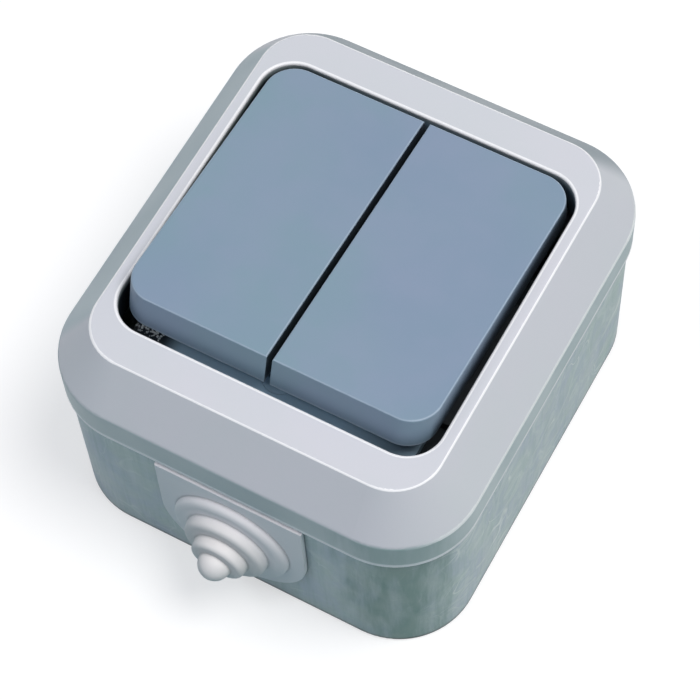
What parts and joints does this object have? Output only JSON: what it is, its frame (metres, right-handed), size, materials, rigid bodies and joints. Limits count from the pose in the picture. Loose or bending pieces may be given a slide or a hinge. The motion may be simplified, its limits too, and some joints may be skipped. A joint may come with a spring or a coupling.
{
  "type": "outdoor weatherproof switch",
  "caption": "Surface-mounted splash-proof rocker switch in a rounded box, with a stepped rubber cable grommet.",
  "frame": {"origin": "centre of the wall-screw slots, on the flat back face of the box", "axes": "+Z out of the front, through the rockers; +Y towards the cable grommet, the top when hung; +X to the right as seen from the front"},
  "size_m": [0.066, 0.0811, 0.046],
  "materials": {
    "cover_plastic": "satin moulded",
    "box_plastic": "fine moulded grain, scuffed",
    "rocker_plastic": "satin moulded",
    "grommet_rubber": "soft matt",
    "gasket_rubber": "matt",
    "block_plastic": "moulded thermoset",
    "frame_plastic": "moulded",
    "plunger_plastic": "self-lubricating, dark",
    "zinc_steel": "zinc plated",
    "spring_steel": "drawn wire",
    "brass": "stamped strip",
    "contact_silver": "silver alloy rivet"
  },
  "bodies": {
    "housing": {"back_box": "box_plastic", "front_cover": "cover_plastic", "cover_gasket": "gasket_rubber", "cover_screws": "zinc_steel", "cable_grommet": "grommet_rubber", "mechanism_body": "block_plastic", "mechanism_screws": "zinc_steel", "bearing_frame": "frame_plastic", "common_terminal": "brass", "output_terminal_left": "brass", "output_terminal_right": "brass", "fixed_contact_left": "contact_silver", "fixed_contact_right": "contact_silver", "terminal_clamps": "zinc_steel", "terminal_screws": "zinc_steel"},
    "left_rocker": {"rocker_left": "rocker_plastic", "cradle_left": "frame_plastic", "plunger_left": "plunger_plastic", "plunger_spring_left": "spring_steel"},
    "right_rocker": {"rocker_right": "rocker_plastic", "cradle_right": "frame_plastic", "plunger_right": "plunger_plastic", "plunger_spring_right": "spring_steel"},
    "left_lever": {"contact_lever_left": "brass", "moving_contact_left": "contact_silver"},
    "right_lever": {"contact_lever_right": "brass", "moving_contact_right": "contact_silver"}
  },
  "joints": [
    {"name": "rocker_left_tilt", "type": "hinge", "parent": "housing", "child": "left_rocker", "pos_m": [-0.0124, 0, 0.0313], "axis": [1, 0, 0], "range_deg": [-8.9, 0]},
    {"name": "rocker_right_tilt", "type": "hinge", "parent": "housing", "child": "right_rocker", "pos_m": [0.0124, 0, 0.0313], "axis": [1, 0, 0], "range_deg": [-8.9, 0]},
    {"name": "lever_left_tilt", "type": "hinge", "parent": "housing", "child": "left_lever", "pos_m": [-0.0124, 0, 0.01965], "axis": [1, 0, 0], "range_deg": [0, 17.8]},
    {"name": "lever_right_tilt", "type": "hinge", "parent": "housing", "child": "right_lever", "pos_m": [0.0124, 0, 0.01965], "axis": [1, 0, 0], "range_deg": [0, 17.8]}
  ],
  "couplings": [
    {"joint": "lever_left_tilt", "follows": "rocker_left_tilt", "ratio": -2},
    {"joint": "lever_right_tilt", "follows": "rocker_right_tilt", "ratio": -2}
  ]
}
